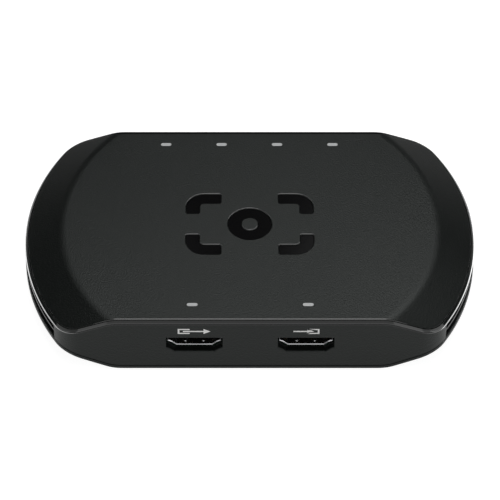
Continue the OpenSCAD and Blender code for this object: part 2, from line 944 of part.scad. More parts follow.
// Audio jack: a block with a round nose in the wall's hole and a blind bore that opens to the back
module audio_jack(i) {
    color(gloss_colour)
        behind_back(rear_window_x[i], jack_z)
            difference() {
                union() {
                    translate([-jack_w / 2, 0, -jack_h / 2])
                        cube([jack_w, jack_l, jack_h]);
                    translate([0, jack_nose_root, 0])
                        rotate([90, 0, 0])
                            cylinder(r = jack_nose_r, h = jack_nose_root + jack_nose_l);
                }
                translate([0, jack_bore_l, 0])
                    rotate([90, 0, 0])
                        cylinder(r = jack_bore_r, h = jack_bore_l + jack_nose_l + cut);
            }
}
module line_in_jack() {
    audio_jack(0);
}
module line_out_jack() {
    audio_jack(1);
}
module headset_jack() {
    audio_jack(2);
}

// Bent terminals that hold the audio jacks to the board
module audio_jack_terminals() {
    color(metal_colour)
        for (i = [0:2], side = [0, 1], y = terminal_y)
            behind_back(rear_window_x[i], board_top)
                mirror([side, 0, 0])
                    translate([jack_w / 2, y - terminal_w / 2, 0]) {
                        cube([terminal_t, terminal_w, jack_h / 2]);
                        cube([terminal_w, terminal_w, terminal_t]);
                    }
}

// Flat components that lie on the board
module chips(places, size) {
    for (at = places)
        translate([at[0] - size[0] / 2, at[1] - size[1] / 2, board_top])
            cube(size);
}
module video_processor() {
    color(chip_colour)
        chips([[0, 0]], processor_size);
}
module thermal_pad() {
    color("lightsteelblue")
        translate([0, 0, processor_size[2]])
            chips([[0, 0]], [processor_size[0], processor_size[1], pad_h]);
}
module heat_sink() {
    fin_pitch = (sink_w - sink_fin_t) / (sink_fins - 1);
    color(metal_colour)
        translate([-sink_w / 2, -sink_d / 2, board_top + processor_size[2] + pad_h]) {
            cube([sink_w, sink_d, sink_base_h]);
            for (i = [0:sink_fins - 1])
                translate([i * fin_pitch, 0, 0])
                    cube([sink_fin_t, sink_d, sink_h]);
        }
}
module memory_chips() {
    color(chip_colour)
        chips([for (side = [-1, 1]) [memory_x, side * memory_span / 2]], memory_size);
}
module video_receiver_chip() {
    color(chip_colour)
        chips([[video_chip_x, -video_chip_y]], video_chip_size);
}
module video_driver_chip() {
    color(chip_colour)
        chips([[-video_chip_x, -video_chip_y]], video_chip_size);
}
module data_bridge_chip() {
    color(chip_colour)
        chips([[bridge_x, rear_chip_y]], bridge_size);
}
module audio_codec_chip() {
    color(chip_colour)
        chips([[codec_x, rear_chip_y]], codec_size);
}
module flash_chip() {
    color(chip_colour)
        chips([[flash_x, -flash_y]], flash_size);
}
module crystals() {
    color(metal_colour)
        chips(crystals_at, crystal_size);
}
module power_inductors() {
    color("dimgray")
        chips([for (i = [0:2]) [inductor_x, -i * inductor_pitch]], inductor_size);
}
module bulk_capacitors() {
    color("gainsboro")
        for (side = [-1, 1])
            translate([bridge_x, side * bulk_pitch / 2 - bulk_y, board_top])
                cylinder(d = bulk_d, h = bulk_h);
}
module ceramic_capacitors() {
    color("tan")
        for (x = [-ceramic_x, ceramic_x])
            chips([for (i = [0:ceramic_rows - 1]) [x, (i - (ceramic_rows - 1) / 2) * ceramic_pitch]],
                  ceramic_size);
}

// Small lamps under the legs of the light guides
module indicator_lights() {
    color("white") {
        chips([for (x = front_window_x) [x, -front_lamp_y]], lamp_size);
        chips([for (x = rear_window_x) [x, rear_lamp_y]], lamp_size);
    }
}

module board_screws() {
    color(metal_colour)
        at_corners(board_screw_x, board_screw_span / 2) {
            translate([0, 0, board_z - board_bite + board_tip_gap])
                cylinder(r = board_screw_r, h = board_t + board_bite - board_tip_gap);
            translate([0, 0, board_top])
                cylinder(r = board_head_r, h = board_head_h);
        }
}
module case_screws() {
    color(metal_colour)
        at_corners(case_screw_x, case_screw_span / 2)
            translate([0, 0, under_z + case_recess_h]) {
                translate([0, 0, -case_head_h])
                    cylinder(r = case_head_r, h = case_head_h);
                cylinder(r = case_screw_r, h = post_split_h - case_recess_h + case_bite);
            }
}
module rubber_feet() {
    color(rubber_colour)
        at_corners(foot_x, foot_span / 2)
            cylinder(r = foot_r, h = foot_proud + foot_pocket);
}

base_cover();
mid_frame();
top_cover();
emblem_inlay();
front_light_guide();
rear_light_guide();
left_vent_grille();
right_vent_grille();
main_board();
video_out_shell();
video_out_insulator();
video_out_contacts();
video_in_shell();
video_in_insulator();
video_in_contacts();
data_socket_shell();
data_socket_tongue();
data_socket_contacts();
line_in_jack();
line_out_jack();
headset_jack();
audio_jack_terminals();
video_processor();
thermal_pad();
heat_sink();
memory_chips();
video_receiver_chip();
video_driver_chip();
data_bridge_chip();
audio_codec_chip();
flash_chip();
crystals();
power_inductors();
bulk_capacitors();
ceramic_capacitors();
indicator_lights();
board_screws();
case_screws();
rubber_feet();
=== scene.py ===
import math
import bmesh
import bpy
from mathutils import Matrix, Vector


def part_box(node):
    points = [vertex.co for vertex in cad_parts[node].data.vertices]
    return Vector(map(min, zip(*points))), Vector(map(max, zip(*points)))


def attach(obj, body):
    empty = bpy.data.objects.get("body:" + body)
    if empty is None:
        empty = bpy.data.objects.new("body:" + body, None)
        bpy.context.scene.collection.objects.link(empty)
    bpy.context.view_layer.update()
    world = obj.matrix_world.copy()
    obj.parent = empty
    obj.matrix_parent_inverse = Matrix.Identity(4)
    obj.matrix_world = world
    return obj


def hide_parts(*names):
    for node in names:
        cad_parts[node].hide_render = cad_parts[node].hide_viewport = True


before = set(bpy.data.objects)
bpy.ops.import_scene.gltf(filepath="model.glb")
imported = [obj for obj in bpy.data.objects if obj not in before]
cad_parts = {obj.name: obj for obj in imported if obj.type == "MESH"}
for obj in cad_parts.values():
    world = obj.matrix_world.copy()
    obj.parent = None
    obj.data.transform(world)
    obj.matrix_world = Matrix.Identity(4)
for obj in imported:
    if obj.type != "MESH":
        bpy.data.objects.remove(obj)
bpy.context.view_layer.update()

# Base cover: the shallow tray under the box, with wings that rise to the round ends.
# Injection-moulded ABS with a fine matt grain. Four screws from below pull it against the wall,
# and its posts and pillars carry the cover and the circuit board.
mm = 0.001
half_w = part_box("mid_frame")[1].x
half_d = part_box("mid_frame")[1].y
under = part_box("base_cover")[0].z
corner_r = 8.3 * mm
corner_y = half_d - corner_r
corner_x = math.sqrt((half_w - corner_r) ** 2 - corner_y ** 2)
end_angle = math.degrees(math.atan2(corner_y, corner_x))
fold_r = 6 * mm
top_wing_w = 10.3 * mm
top_flat_r = half_w - top_wing_w
top_wing_angle = math.radians(26)
base_wing_w = 10 * mm
base_flat_r = half_w - base_wing_w
base_wing_angle = math.radians(31)
wall_t = 2.2 * mm
floor_gap = 0.2 * mm
tray_inset = wall_t + floor_gap
base_t = 2 * mm
base_floor = under + base_t
base_edge_h = 1 * mm
base_round = 0.15 * mm
base_arris = 0.1 * mm
# A ring of vertices this close to an edge keeps the shading beside it even
support = 0.06 * mm
vent_end_in = 0.7 * mm
vent_angle = end_angle - math.degrees(vent_end_in / half_w)
vent_steps = 72
corner_steps = 24
slope_steps = 6
fold_steps = 8
round_steps = 4
circle_steps = 48
crisp_angle = math.radians(40)


def fall(r, flat_r, angle):
    """How far a wing has fallen at distance r from the middle, from the flat through the soft fold."""
    past = r - flat_r + fold_r * math.tan(angle / 2)
    if past <= 0:
        return 0.0
    if past < fold_r * math.sin(angle):
        return fold_r - math.sqrt(fold_r ** 2 - past ** 2)
    return (r - flat_r) * math.tan(angle)


def fold_radii(flat_r, angle):
    """Distances from the middle at which the fold gets a ring of vertices."""
    start = flat_r - fold_r * math.tan(angle / 2)
    return [start + fold_r * math.sin(angle * i / fold_steps) for i in range(fold_steps + 1)]


def base_z(r):
    """Height of the base's outer face at distance r from the middle."""
    return under + fall(r, base_flat_r, base_wing_angle)


def spread(start, end, steps):
    """Even steps from start, without the end itself."""
    return [start + (end - start) * i / steps for i in range(steps)]


def on_arc(x, y, r, angles):
    """Stations on an arc: place and outward direction for each angle in degrees."""
    turns = [math.radians(a) for a in angles]
    return [(x + r * math.cos(a), y + r * math.sin(a), math.cos(a), math.sin(a)) for a in turns]


# Stations round the outer wall, closer together where the folds meet the straight front and back
top_radii = fold_radii(top_flat_r, top_wing_angle)
base_radii = fold_radii(base_flat_r, base_wing_angle)
folds_x = [math.sqrt(r ** 2 - half_d ** 2) for r in top_radii + base_radii]
folds_x += spread(corner_x, max(folds_x), slope_steps)
folds_x.sort(reverse=True)
edge_x = folds_x + [-x for x in reversed(folds_x)]
end_turns = [-end_angle] + spread(-vent_angle, vent_angle, vent_steps) + [vent_angle]
corner_turns = spread(end_angle, 90, corner_steps)
segments = {
    "right_end": on_arc(0, 0, half_w, end_turns),
    "back_right": on_arc(corner_x, corner_y, corner_r, corner_turns),
    "back": [(x, half_d, 0, 1) for x in edge_x],
    "back_left": on_arc(-corner_x, corner_y, corner_r, spread(90, 180 - end_angle, corner_steps)),
    "left_end": on_arc(0, 0, half_w, [180 + a for a in end_turns]),
    "front_left": on_arc(-corner_x, -corner_y, corner_r, [180 + a for a in corner_turns]),
    "front": [(-x, -half_d, 0, -1) for x in edge_x],
    "front_right": on_arc(corner_x, -corner_y, corner_r, spread(270, 360 - end_angle, corner_steps)),
}
stations = []
first = {}
for segment, points in segments.items():
    first[segment] = len(stations)
    # The last point of a straight edge is the first of the corner after it
    stations += points[:-1] if segment in ("front", "back") else points


def ring(bm, inset, height, rise=0.0, level_at=None):
    """Vertices round the case, drawn in by inset, as high as that ring or the one at level_at."""
    measured = inset if level_at is None else level_at
    verts = []
    for x, y, nx, ny in stations:
        z = height(math.hypot(x - nx * measured, y - ny * measured)) + rise
        verts.append(bm.verts.new((x - nx * inset, y - ny * inset, z)))
    return verts


def band(bm, a, b, skip=()):
    """Faces between two rings, left out where the rings share their vertices."""
    for i in range(len(a)):
        j = (i + 1) % len(a)
        corners = []
        for v in (a[i], a[j], b[j], b[i]):
            if v not in corners:
                corners.append(v)
        if len(corners) > 2 and i not in skip:
            bm.faces.new(corners)


def bands(bm, rings):
    """Faces between each ring and the next."""
    for a, b in zip(rings, rings[1:]):
        band(bm, a, b)


def wing(bm, rim, radii, height):
    """Faces from the rim over the wing and its fold; returns the loop round the flat middle."""
    outer = rim
    for r in reversed(radii):
        inner = []
        for v, edge in zip(outer, rim):
            reach = math.hypot(edge.co.x, edge.co.y)
            if r < reach:
                v = bm.verts.new((edge.co.x * r / reach, edge.co.y * r / reach, height(r)))
            inner.append(v)
        band(bm, outer, inner)
        outer = inner
    return outer


def fill(bm, *loops):
    """Flat faces inside the first loop, with the other loops as holes."""
    edges = {}
    for loop in loops:
        for a, b in zip(loop, loop[1:] + loop[:1]):
            if a is not b:
                edges[bm.edges.get((a, b)) or bm.edges.new((a, b))] = True
    bmesh.ops.triangle_fill(bm, edges=list(edges), use_beauty=True)


def circle_loop(u, v, r, steps=circle_steps):
    """A circle, counter-clockwise."""
    turns = [2 * math.pi * i / steps for i in range(steps)]
    return [(u + r * math.cos(a), v + r * math.sin(a)) for a in turns]


def turned(bm, x, y, rows):
    """Rings of a turned form about an upright axis, from (radius, height) rows; returns the end rings."""
    rings = [[bm.verts.new((u, v, z)) for u, v in circle_loop(x, y, r)] for r, z in rows]
    bands(bm, rings)
    return rings[0], rings[-1]


def rounding(radius):
    """A quarter round from its start, as (in, down) pairs: along the face first, then over the edge."""
    turns = [math.pi / 2 * i / round_steps for i in range(round_steps + 1)]
    return [(radius * (1 - math.sin(a)), radius * (1 - math.cos(a))) for a in turns]


def base_mouth(r):
    """Rows of the broken edge of a round hole in the underside."""
    return [(r + base_arris + support, under), (r + base_arris, under), (r, under + base_arris)]


def corners_of(node, r):
    """The four places of a group of round pieces, from the group's box and one piece's radius."""
    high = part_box(node)[1]
    return [(sx * (high.x - r), sy * (high.y - r)) for sx in (-1, 1) for sy in (-1, 1)]


def make_piece(name, bm, materials, slot, *nodes):
    """Turns the mesh into a piece with soft shading and crisp edges, standing for the named nodes."""
    bmesh.ops.delete(bm, geom=[v for v in bm.verts if not v.link_faces], context="VERTS")
    bmesh.ops.recalc_face_normals(bm, faces=bm.faces)
    mesh = bpy.data.meshes.new(name)
    bm.to_mesh(mesh)
    bm.free()
    mesh.polygons.foreach_set("use_smooth", [True] * len(mesh.polygons))
    mesh.set_sharp_from_angle(angle=crisp_angle)
    for material in materials:
        mesh.materials.append(material)
    piece = bpy.data.objects.new(name, mesh)
    bpy.context.scene.collection.objects.link(piece)
    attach(piece, "root")
    if nodes:
        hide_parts(*nodes)
    return piece


def add_node(tree, kind, values=None):
    """A new shader node of this kind, with the given values in its inputs."""
    node = tree.nodes.new("ShaderNode" + kind)
    for socket, value in (values or {}).items():
        node.inputs[socket].default_value = value
    return node


# Moulded grain: fine pebbles for the bump and a slow drift of tone, as spark-eroded moulds leave
grain_depth = 0.09 * mm
grain_group = bpy.data.node_groups.new("moulded_grain", "ShaderNodeTree")
for socket in ("Pebbles", "Drift"):
    grain_group.interface.new_socket(socket, in_out="INPUT", socket_type="NodeSocketFloat")
for socket in ("Height", "Tone"):
    grain_group.interface.new_socket(socket, in_out="OUTPUT", socket_type="NodeSocketFloat")
grain_in = grain_group.nodes.new("NodeGroupInput")
grain_out = grain_group.nodes.new("NodeGroupOutput")
place = add_node(grain_group, "TexCoord")
pebble_noise = add_node(grain_group, "TexNoise", {"Detail": 2})
drift_noise = add_node(grain_group, "TexNoise", {"Detail": 3})
blend = add_node(grain_group, "Mix", {"Factor": 0.5})
link = grain_group.links.new
for noise, size, half in ((pebble_noise, "Pebbles", "A"), (drift_noise, "Drift", "B")):
    link(place.outputs["Object"], noise.inputs["Vector"])
    link(grain_in.outputs[size], noise.inputs["Scale"])
    link(noise.outputs["Fac"], blend.inputs[half])
link(pebble_noise.outputs["Fac"], grain_out.inputs["Height"])
link(blend.outputs["Result"], grain_out.inputs["Tone"])


def grained(name, dark, light, rough, bump, pebbles=3200, drift=45, gloss=0.5, metal=0, tint=(1, 1, 1)):
    """A material whose tone and roughness follow the moulded grain, with even gloss, metal and tint."""
    material = bpy.data.materials.new(name)
    material.use_nodes = True
    tree = material.node_tree
    shader = tree.nodes["Principled BSDF"]
    shader.inputs["Specular IOR Level"].default_value = gloss
    shader.inputs["Specular Tint"].default_value = (*tint, 1)
    shader.inputs["Metallic"].default_value = metal
    grain = add_node(tree, "Group")
    grain.node_tree = grain_group
    grain.inputs["Pebbles"].default_value = pebbles
    grain.inputs["Drift"].default_value = drift
    tone = add_node(tree, "Mix")
    tone.data_type = "RGBA"
    tone.inputs["A"].default_value = (*dark, 1)
    tone.inputs["B"].default_value = (*light, 1)
    smoothest, roughest = rough
    roughness = add_node(tree, "MapRange", {"To Min": smoothest, "To Max": roughest})
    relief = add_node(tree, "Bump", {"Strength": bump, "Distance": grain_depth})
    link = tree.links.new
    link(grain.outputs["Tone"], tone.inputs["Factor"])
    link(grain.outputs["Tone"], roughness.inputs["Value"])
    link(grain.outputs["Height"], relief.inputs["Height"])
    link(tone.outputs["Result"], shader.inputs["Base Color"])
    link(roughness.outputs["Result"], shader.inputs["Roughness"])
    link(relief.outputs["Normal"], shader.inputs["Normal"])
    return material


case_plastic = grained(
    "case_plastic", (0.0026, 0.0034, 0.0031), (0.0044, 0.0054, 0.0050),
    rough=(0.28, 0.44), bump=0.8, pebbles=2300, gloss=0.32, tint=(0.94, 1.0, 0.97))

post_r = 3.2 * mm
post_split = under + 8.8 * mm
case_hole_r = 1.4 * mm
case_recess_r = 2.5 * mm
case_seat = under + 4.5 * mm
case_head_r = 2.2 * mm
pillar_r = 2.6 * mm
board_pilot_r = 0.85 * mm
board_head_r = 1.9 * mm
board_bite = 2.4 * mm
board_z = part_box("main_board")[0].z
foot_r = 5 * mm
foot_seat = under + 1 * mm
case_screws_at = corners_of("case_screws", case_head_r)
board_screws_at = corners_of("board_screws", board_head_r)
feet_at = corners_of("rubber_feet", foot_r)

bm = bmesh.new()
rows = [ring(bm, tray_inset, base_z, base_t), ring(bm, tray_inset, base_z, base_edge_h)]
rows += [ring(bm, step, base_z, base_edge_h - drop, 0) for step, drop in rounding(base_arris)]
rows += [ring(bm, step, base_z, drop, base_round) for drop, step in rounding(base_round)]
rows.append(ring(bm, base_round + support, base_z))
bands(bm, rows)
inside_loop = wing(bm, rows[0], base_radii, lambda r: base_z(r) + base_t)
outside_loop = wing(bm, rows[-1], base_radii, base_z)
outside_holes = []
inside_holes = []
for x, y in case_screws_at:
    mouth, post_foot = turned(bm, x, y, base_mouth(case_recess_r) + [
        (case_recess_r, case_seat), (case_hole_r, case_seat), (case_hole_r, post_split),
        (post_r, post_split), (post_r, base_floor)])
    outside_holes.append(mouth)
    inside_holes.append(post_foot)
for x, y in board_screws_at:
    pillar_foot, pit = turned(bm, x, y, [
        (pillar_r, base_floor), (pillar_r, board_z), (board_pilot_r, board_z),
        (board_pilot_r, board_z - board_bite)])
    inside_holes.append(pillar_foot)
    fill(bm, pit)
for x, y in feet_at:
    mouth, pit = turned(bm, x, y, base_mouth(foot_r) + [(foot_r, foot_seat)])
    outside_holes.append(mouth)
    fill(bm, pit)
fill(bm, outside_loop, *outside_holes)
fill(bm, inside_loop, *inside_holes)
make_piece("base_cover_shell", bm, [case_plastic], "case_plastic", "base_cover")

# Rubber feet: four soft pads that keep the box from sliding.
# Pressed rubber, glued into pockets of the base, with a rounded rim where they meet the table.
foot_round = 0.4 * mm
foot_rubber = grained(
    "foot_rubber", (0.012, 0.012, 0.012), (0.020, 0.020, 0.020), rough=(0.75, 0.9), bump=0.5, pebbles=2400)
bm = bmesh.new()
for x, y in feet_at:
    profile = [(foot_r, foot_seat), (foot_r, foot_round + support)]
    profile += [(foot_r - step, drop) for step, drop in reversed(rounding(foot_round))]
    profile.append((foot_r - foot_round - support, 0))
    upper, lower = turned(bm, x, y, profile)
    fill(bm, upper)
    fill(bm, lower)
make_piece("rubber_foot_pads", bm, [foot_rubber], "foot_rubber", "rubber_feet")

# Mid frame: the upright wall all round, which carries the cover in a rebate behind its bevelled lip.
# The same moulded plastic, with a satin bevel and a polished foot; it has long slots in the round ends
# and openings for the sockets in front and behind, and it sits on the base over a thin shadow line.
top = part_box("top_cover")[1].z
lip_t = 0.8 * mm
lip_arris = 0.05 * mm
bevel_w = 0.7 * mm
bevel_h = 0.8 * mm
bevel_r = 1.1 * mm
bevel_slope = math.atan2(bevel_w, bevel_h)
bevel_foot = bevel_h + bevel_r * math.tan(bevel_slope / 2)
bevel_steps = 10
# The last steps of the bevel's arc stay as matt as the wall below
matt_steps = 2
face_support = 0.015 * mm
cover_t = 1.2 * mm
wall_arris = 0.08 * mm
shadow_h = 0.25 * mm
shadow_d = 0.6 * mm
wall_foot = base_edge_h + shadow_h
vent_rim = 0.3 * mm
vent_arris = 0.15 * mm
mouth_arris = 0.3 * mm
rim_dark = (0.0045, 0.0054, 0.0051)
rim_light = (0.0075, 0.0086, 0.0082)
rim_polished = grained("rim_polished", rim_dark, rim_light, rough=(0.06, 0.10), bump=0.05, gloss=0.7)
bevel_satin = grained("bevel_satin", rim_dark, rim_light, rough=(0.06, 0.10), bump=0.05, gloss=0.42)
# Places of these two in a piece's list of materials, after the case plastic
polished = 1
satin = 2


def top_z(r):
    """Height of the cover's outer face at distance r from the middle."""
    return top - fall(r, top_flat_r, top_wing_angle)


def polish(rows, finish=polished, reach=half_w):
    """Gives the faces between these rings another finish, up to a distance to left and right."""
    for face in {face for row in rows[1:-1] for vert in row for face in vert.link_faces}:
        if abs(face.calc_center_median().x) < reach:
            face.material_index = finish


def grow(loop, by, least=0.5):
    """The counter-clockwise loop moved outwards, a sharp corner by no more than by / least."""
    moved = []
    for i, (u, v) in enumerate(loop):
        before = Vector(loop[i]) - Vector(loop[i - 1])
        after = Vector(loop[(i + 1) % len(loop)]) - Vector(loop[i])
        a = before.normalized()
        b = after.normalized()
        out = Vector((a.y + b.y, -a.x - b.x)).normalized()
        reach = by / max(least, out.dot(Vector((a.y, -a.x))))
        moved.append((u + out.x * reach, v + out.y * reach))
    return moved


def soften(loop, radius, steps=4, sharp=math.radians(20)):
    """The loop with its sharp corners turned into arcs."""
    soft = []
    for i, point in enumerate(loop):
        here = Vector(point)
        back = Vector(loop[i - 1]) - here
        ahead = Vector(loop[(i + 1) % len(loop)]) - here
        bend = math.pi - back.angle(ahead)
        if bend < sharp:
            soft.append(point)
            continue
        reach = radius * math.tan(bend / 2)
        start = here + back.normalized() * reach
        end = here + ahead.normalized() * reach
        for k in range(steps + 1):
            t = k / steps
            p = start * (1 - t) ** 2 + here * 2 * t * (1 - t) + end * t ** 2
            soft.append((p.x, p.y))
    return soft


def pill_loop(u, v, length, width, steps=12):
    """A flat form with round ends, counter-clockwise."""
    r = width / 2
    shift = length / 2 - r
    loop = []
    for side, start in ((1, -90), (-1, 90)):
        turns = [math.radians(start + 180 * i / steps) for i in range(steps + 1)]
        loop += [(u + side * shift + r * math.cos(a), v + r * math.sin(a)) for a in turns]
    return loop


def pierce(bm, loop, where, depth, arris, side=1, bright=False):
    """Walls of a hole or recess with a rounded mouth; returns its loops at the face and at depth."""
    rows = [(arris + support, 0)] + rounding(arris) + [(0, arris + support), (0, depth)]
    rings = [[bm.verts.new(where(u, v, down)) for u, v in grow(loop, side * out)] for out, down in rows]
    bands(bm, rings)
    if bright:
        polish(rings[1:-2])
    return rings[0], rings[-1]


def on_front(u, v, down):
    """A place on the front wall, seen from the front, or so far behind its face."""
    return (u, -half_d + down, v)


def on_back(u, v, down):
    """A place on the back wall, seen from behind, or so far inside its face."""
    return (-u, half_d - down, v)


def flat_at(z):
    """A height that is the same at every distance from the middle."""
    return lambda r: z


# Openings for the two video sockets, whose lower corners slant inwards
video_low, video_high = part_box("video_out_shell")
video_out_x = (video_low.x + video_high.x) / 2
video_x = [video_out_x, -video_out_x]
video_w = 14 * mm
video_h = 4.55 * mm
video_soft = 0.3 * mm
shell_t = 0.3 * mm
shoulder_w = 2.2 * mm
shoulder_h = 1.6 * mm
shoulder_bend_w = 1.03 * mm
shoulder_bend_h = 1.06 * mm
video_z = video_high.z - shell_t - video_h / 2
video_side_gap = 0.28 * mm
video_height_gap = 0.1 * mm


def video_loop(x):
    """Outline of the opening for a video socket, counter-clockwise in the front wall."""
    w = video_w / 2 + shell_t + video_side_gap
    h = video_h / 2 + shell_t + video_height_gap
    half = [(w - shoulder_w, -h), (w - shoulder_bend_w, shoulder_bend_h - h), (w, shoulder_h - h), (w, h)]
    loop = half + [(-u, v) for u, v in reversed(half)]
    return soften([(x + u, video_z + v) for u, v in loop], video_soft)


# Openings for the data socket and the three audio jacks in the back
data_low, data_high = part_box("data_socket_shell")
data_x = (data_low.x + data_high.x) / 2
data_w = 8.34 * mm
data_h = 2.56 * mm
data_z = data_high.z - shell_t - data_h / 2
data_gap = 0.25 * mm
data_grow = 2 * (shell_t + data_gap)
jack_nodes = ["line_in_jack", "line_out_jack", "headset_jack"]
jack_hole_r = 3 * mm
jack_hole_bevel = 0.4 * mm
jack_low, jack_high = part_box("line_in_jack")
jack_z = (jack_low.z + jack_high.z) / 2
jack_x = [(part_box(node)[0].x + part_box(node)[1].x) / 2 for node in jack_nodes]

# Shallow recesses for the signs over the video sockets: an open frame with an arrow out of it or into it
sign_z = under + 14.9 * mm
sign_h = 2 * mm
sign_depth = 0.05 * mm
sign_arris = 0.005 * mm
sign_line = 0.46 * mm
sign_frame_w = 3.2 * mm
sign_out_w = 8.8 * mm
sign_in_w = 7 * mm
arrow_in = 1.4 * mm
arrow_head = 1.9 * mm
arrow_spread = 1 * mm


def sign_loops(x, sign_w, leaving):
    """The frame and the arrow of one sign, counter-clockwise in the front wall."""
    left = x - sign_w / 2
    low = sign_z - sign_h / 2
    high = sign_z + sign_h / 2
    line = sign_line
    frame_u = [left + sign_frame_w, left, left, left + sign_frame_w,
               left + sign_frame_w, left + line, left + line, left + sign_frame_w]
    frame_v = [low, low, high, high, high - line, high - line, low + line, low + line]
    opened = list(reversed(list(zip(frame_u, frame_v))))
    tail = left + arrow_in if leaving else left
    tip = tail + sign_w - arrow_in
    neck = tip - arrow_head
    arrow_u = [tail, neck, neck, tip, neck, neck, tail]
    arrow_v = [-line / 2, -line / 2, -arrow_spread, 0, arrow_spread, line / 2, line / 2]
    arrow = [(u, sign_z + v) for u, v in zip(arrow_u, arrow_v)]
    if not leaving:
        opened = [(2 * x - u, v) for u, v in reversed(opened)]
    return [opened, arrow]


signs = sign_loops(video_x[0], sign_out_w, True) + sign_loops(video_x[1], sign_in_w, False)

# The rebate and the lip, then the bevel, whose foot runs into the upright face in an arc
bm = bmesh.new()
seat_row = ring(bm, wall_t, top_z, -cover_t)
lip_rows = [
    seat_row,
    ring(bm, lip_t, top_z, -cover_t),
    ring(bm, lip_t, top_z, -lip_arris),
    ring(bm, bevel_w, top_z),
]
bands(bm, lip_rows)
flat_rows = [lip_rows[-1], ring(bm, bevel_w - support, top_z, -support * bevel_h / bevel_w, bevel_w)]
arc_rows = []
for turn in spread(bevel_slope, 0, bevel_steps) + [0]:
    inset = bevel_r * (1 - math.cos(turn))
    drop = bevel_foot - bevel_r * math.sin(turn)
    arc_rows.append(ring(bm, inset, top_z, -drop, bevel_w))
bands(bm, flat_rows + arc_rows)
polish(flat_rows + arc_rows[:1], satin)
polish(arc_rows[:-matt_steps])
face_top = ring(bm, 0, top_z, -bevel_foot - face_support, bevel_w)
band(bm, arc_rows[-1], face_top)

# The foot of the wall with its shadow line
lower_rows = [
    ring(bm, 0, base_z, wall_foot + wall_arris + support),
    ring(bm, 0, base_z, wall_foot + wall_arris),
    ring(bm, wall_arris, base_z, wall_foot, 0),
    ring(bm, shadow_d, base_z, wall_foot, 0),
    ring(bm, shadow_d, base_z, base_edge_h, 0),
    ring(bm, wall_t, base_z, base_edge_h),
]
bands(bm, lower_rows)
face_bottom = lower_rows[0]
inner_bottom = lower_rows[-1]

# The upright faces outside and inside, but for the slots and the flat front and back
vent_low = base_z(half_w) + wall_foot + vent_rim
vent_high = min(top_z(half_w) - bevel_h, top_z(half_w - lip_t) - cover_t) - vent_rim
vent_rows = [ring(bm, 0, flat_at(z)) for z in (
    vent_high + vent_arris + support, vent_high + vent_arris,
    vent_low - vent_arris, vent_low - vent_arris - support)]
inner_high = ring(bm, wall_t, flat_at(vent_high))
inner_low = ring(bm, wall_t, flat_at(vent_low))
flat_spans = {"front": (first["front"], first["front_right"]), "back": (first["back"], first["back_left"])}
flat_skip = {i for start, end in flat_spans.values() for i in range(start, end)}
vent_starts = [first[segment] + 1 for segment in ("right_end", "left_end")]
vent_skip = {i for start in vent_starts for i in range(start, start + vent_steps)}
outer_rows = [face_top] + vent_rows + [face_bottom]
for a, b in zip(outer_rows, outer_rows[1:]):
    band(bm, a, b, flat_skip | vent_skip if a is vent_rows[1] else flat_skip)
inner_rows = [inner_bottom, inner_low, inner_high, seat_row]
for a, b in zip(inner_rows, inner_rows[1:]):
    band(bm, a, b, flat_skip | vent_skip if a is inner_low else flat_skip)

# The slots: a broken edge outside, flat sides through the wall and square ends
for start in vent_starts:
    span = range(start, start + vent_steps + 1)
    sides = []
    for z, outside, inside in ((vent_high, vent_rows[1], inner_high), (vent_low, vent_rows[2], inner_low)):
        lip = []
        for i in span:
            x, y, nx, ny = stations[i]
            lip.append(bm.verts.new((x - nx * vent_arris, y - ny * vent_arris, z)))
        rows = [[outside[i] for i in span], lip, [inside[i] for i in span]]
        for a, b in zip(rows, rows[1:]):
            for k in range(vent_steps):
                bm.faces.new((a[k], a[k + 1], b[k + 1], b[k]))
        sides.append(rows)
    for k in (0, vent_steps):
        bm.faces.new([row[k] for row in sides[0]] + [row[k] for row in reversed(sides[1])])

# The flat front and back, with their openings
mouths = {"front": [], "back": []}
backs = {"front": [], "back": []}
holes = [("front", video_loop(x), on_front, mouth_arris) for x in video_x]
data_loop = pill_loop(-data_x, data_z, data_w + data_grow, data_h + data_grow)
holes.append(("back", data_loop, on_back, mouth_arris))
holes += [("back", circle_loop(-x, jack_z, jack_hole_r), on_back, jack_hole_bevel) for x in jack_x]
for segment, loop, where, arris in holes:
    mouth, back = pierce(bm, loop, where, wall_t, arris)
    mouths[segment].append(mouth)
    backs[segment].append(back)
for loop in signs:
    mouth, bottom = pierce(bm, loop, on_front, sign_depth, sign_arris)
    mouths["front"].append(mouth)
    fill(bm, bottom)
for segment, (a, b) in flat_spans.items():
    outer_loop = face_top[a:b + 1] + [row[b] for row in vent_rows]
    outer_loop += list(reversed(face_bottom[a:b + 1])) + [row[a] for row in reversed(vent_rows)]
    fill(bm, outer_loop, *mouths[segment])
    inner_loop = seat_row[a:b + 1] + [inner_high[b], inner_low[b]]
    inner_loop += list(reversed(inner_bottom[a:b + 1])) + [inner_low[a], inner_high[a]]
    fill(bm, inner_loop, *backs[segment])
make_piece("wall_frame", bm, [case_plastic, rim_polished, bevel_satin], "case_plastic", "mid_frame")

# Printed signs: white ink in the front wall, one sign over each video socket.
# Pad-printed into the shallow recesses, where it lies a hair below the wall's face.
ink_sink = 0.002 * mm
sign_ink = grained(
    "sign_ink", (0.80, 0.80, 0.79), (0.90, 0.90, 0.89), rough=(0.5, 0.6), bump=0.1, pebbles=9000, drift=900)
bm = bmesh.new()
for loop in signs:
    face = [bm.verts.new(on_front(u, v, ink_sink)) for u, v in loop]
    back = [bm.verts.new(on_front(u, v, sign_depth)) for u, v in loop]
    band(bm, face, back)
    fill(bm, face)
    fill(bm, back)
make_piece("socket_signs", bm, [sign_ink], "clear_plastic")

# Top cover: the large matt lid, flat in the middle and falling towards the round ends.
# Moulded from the same plastic, it drops into the wall's rebate; six windows and a sunk emblem
# are moulded in, and four posts inside take the case screws.
cover_gap = 0.2 * mm
cover_inset = lip_t + cover_gap
